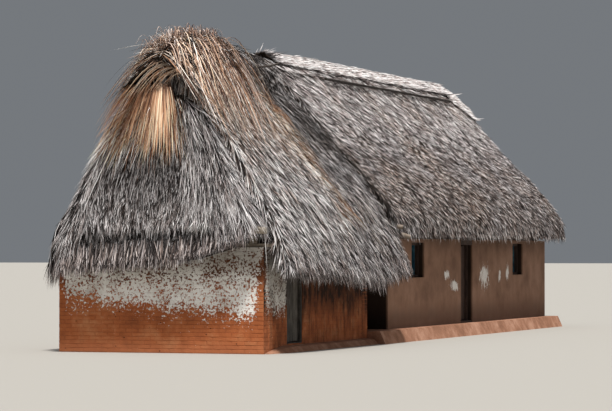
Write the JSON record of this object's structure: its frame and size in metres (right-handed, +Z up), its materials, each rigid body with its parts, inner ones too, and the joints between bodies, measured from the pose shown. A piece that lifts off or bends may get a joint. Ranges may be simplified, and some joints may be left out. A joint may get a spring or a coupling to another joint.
{
  "type": "thatched hut",
  "caption": "Long thatched hut: a low brick kitchen with a steep hipped gable, and a plastered house behind it under the same ridge line, with plank doors and shuttered windows.",
  "frame": {"origin": "on the ground, under the middle of the whole hut's box", "axes": "+Z up, +Y along the ridge from the kitchen gable to the far gable, +X towards the side with the doors"},
  "size_m": [4.94, 20.1624, 5.7],
  "materials": {
    "brick": "red earth bricks with flaking whitewash",
    "plaster": "mud plaster, stained and patched",
    "earth": "rammed red earth",
    "pole_wood": "bare weathered poles",
    "door_wood": "weathered planks",
    "shutter_paint": "worn dark teal paint on boards",
    "grey_thatch": "old palm leaf thatch, weathered grey",
    "tan_thatch": "newer palm leaf thatch, brown and tan"
  },
  "bodies": {
    "root": {"kitchen_floor": "earth", "house_plinth": "earth", "kitchen_front_wall": "brick", "kitchen_back_wall": "brick", "kitchen_left_wall": "brick", "kitchen_right_wall_near": "brick", "kitchen_right_wall_far": "brick", "kitchen_bond_beam": "pole_wood", "house_front_wall_near": "plaster", "house_front_wall_far": "plaster", "house_back_wall": "plaster", "house_gable_wall": "plaster", "house_end_wall": "plaster", "kitchen_door_frame": "pole_wood", "house_door_frame": "pole_wood", "near_window_frame": "pole_wood", "near_window_shutter_1": "shutter_paint", "near_window_shutter_2": "shutter_paint", "far_window_frame": "pole_wood", "far_window_shutter_1": "shutter_paint", "far_window_shutter_2": "shutter_paint", "back_window_frame": "pole_wood", "back_window_shutters": "shutter_paint", "kitchen_plate_left": "pole_wood", "house_plate_left": "pole_wood", "kitchen_plate_right": "pole_wood", "house_plate_right": "pole_wood", "kitchen_truss_front": "pole_wood", "kitchen_truss_back": "pole_wood", "house_truss_near": "pole_wood", "house_truss_middle": "pole_wood", "house_truss_far": "pole_wood", "kitchen_rafters_left": "pole_wood", "house_rafters_left": "pole_wood", "kitchen_rafters_right": "pole_wood", "house_rafters_right": "pole_wood", "kitchen_ridge_pole": "pole_wood", "house_ridge_pole": "pole_wood", "kitchen_gable_frame": "pole_wood", "house_end_frame": "pole_wood", "kitchen_thatch_right": "grey_thatch", "kitchen_thatch_left": "grey_thatch", "kitchen_ridge_thatch": "tan_thatch", "kitchen_gable_thatch": "grey_thatch", "house_thatch_right": "grey_thatch", "house_thatch_left": "grey_thatch", "house_ridge_thatch": "grey_thatch", "house_end_thatch": "grey_thatch", "house_ridge_batten_left": "pole_wood", "house_ridge_batten_right": "pole_wood"},
    "kitchen_door": {"kitchen_door": "door_wood"},
    "house_door": {"house_door": "door_wood"}
  },
  "joints": [
    {"name": "kitchen_door_hinge", "type": "hinge", "parent": "root", "child": "kitchen_door", "pos_m": [1.74, -8.39521, 0.9], "axis": [0, 0, 1], "range_deg": [0, 95]},
    {"name": "house_door_hinge", "type": "hinge", "parent": "root", "child": "house_door", "pos_m": [1.64, 2.53479, 1.1], "axis": [0, 0, 1], "range_deg": [0, 95]}
  ]
}
